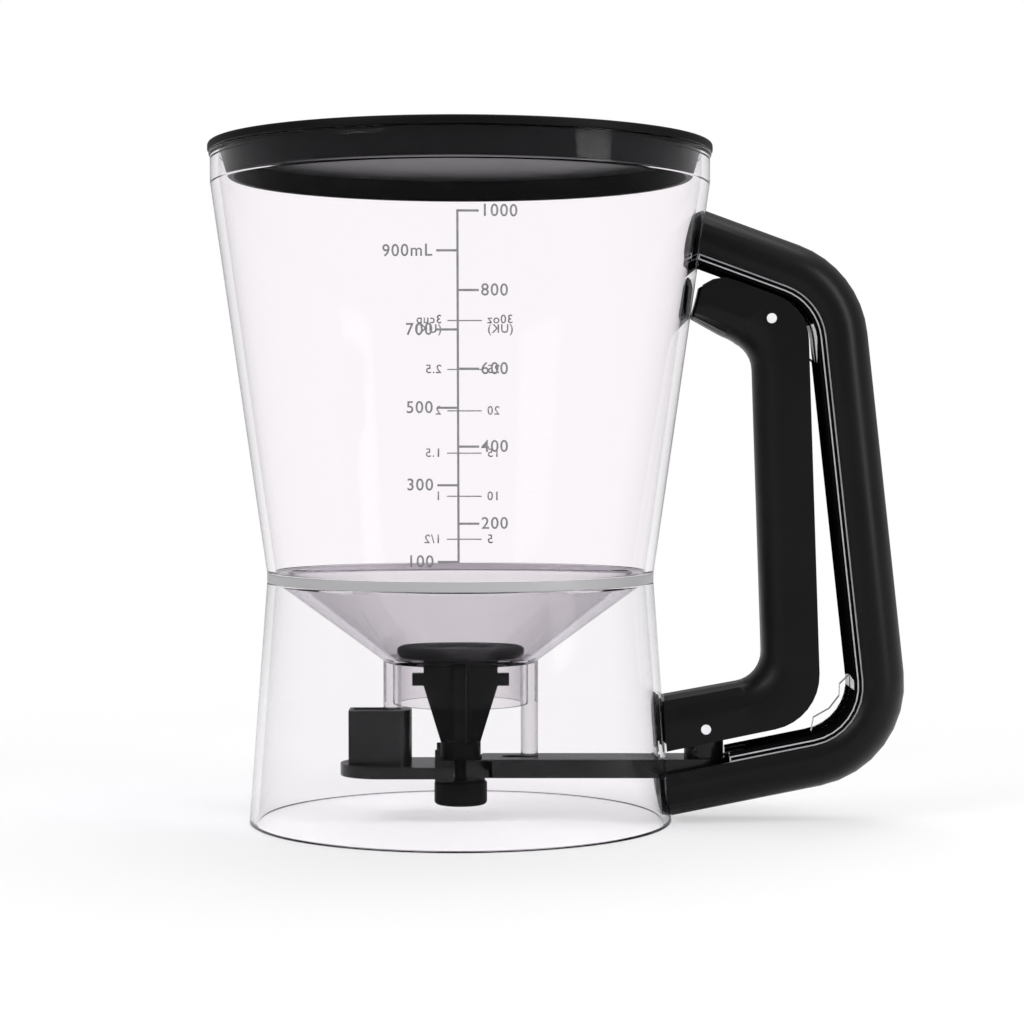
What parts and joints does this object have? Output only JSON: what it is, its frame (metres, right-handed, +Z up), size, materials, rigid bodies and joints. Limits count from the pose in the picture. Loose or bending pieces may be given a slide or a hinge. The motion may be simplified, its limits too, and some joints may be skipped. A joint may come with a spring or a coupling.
{
  "type": "pancake batter dispenser",
  "caption": "Clear tapered batter hopper on a clear stand, with a push-in lid, a two-part black handle, and a squeeze trigger that lifts a stopper off the outlet.",
  "frame": {"origin": "on the pouring axis, in the plane of the stand's foot", "axes": "+Z up along the pouring axis, +X to the handle, +Y to the rear half of the grip"},
  "size_m": [0.1836, 0.1326, 0.1782],
  "materials": {
    "clear_plastic": "clear gloss",
    "grey_plastic": "satin",
    "black_gloss": "gloss",
    "black_satin": "satin",
    "silicone": "soft",
    "steel": "plain"
  },
  "bodies": {
    "jug": {"hopper": "clear_plastic", "funnel": "clear_plastic", "waist_ring": "grey_plastic", "base_skirt": "clear_plastic", "handle_liner": "clear_plastic", "grip_front": "black_gloss", "grip_rear": "black_gloss", "grip_screws": "steel", "trigger_pin": "steel"},
    "lid": {"lid": "black_gloss"},
    "trigger": {"trigger": "black_gloss", "link_pin": "steel"},
    "slider": {"slide_bar": "black_satin", "link_post": "black_satin", "return_spring": "steel"},
    "stopper": {"stopper_stem": "black_satin", "stopper_disc": "silicone", "stem_knob": "black_satin"}
  },
  "joints": [
    {"name": "trigger_squeeze", "type": "hinge", "parent": "jug", "child": "trigger", "pos_m": [0.0813, 0, 0.1324], "axis": [0, -1, 0], "range_deg": [0, 2.65]},
    {"name": "bar_slide", "type": "slide", "parent": "jug", "child": "slider", "axis": [1, 0, 0], "range_m": [0, 0.005], "stiffness_N_per_m": 500, "springref_m": -0.003, "deforming": ["return_spring"]},
    {"name": "stopper_lift", "type": "slide", "parent": "jug", "child": "stopper", "axis": [0, 0, 1], "range_m": [0, 0.003]},
    {"name": "lid_lift", "type": "slide", "parent": "jug", "child": "lid", "axis": [0, 0, 1], "range_m": [0, 0.05]}
  ],
  "couplings": [
    {"joint": "bar_slide", "follows": "trigger_squeeze", "m_per_rad": 0.1081},
    {"joint": "stopper_lift", "follows": "trigger_squeeze", "m_per_rad": 0.0649}
  ]
}
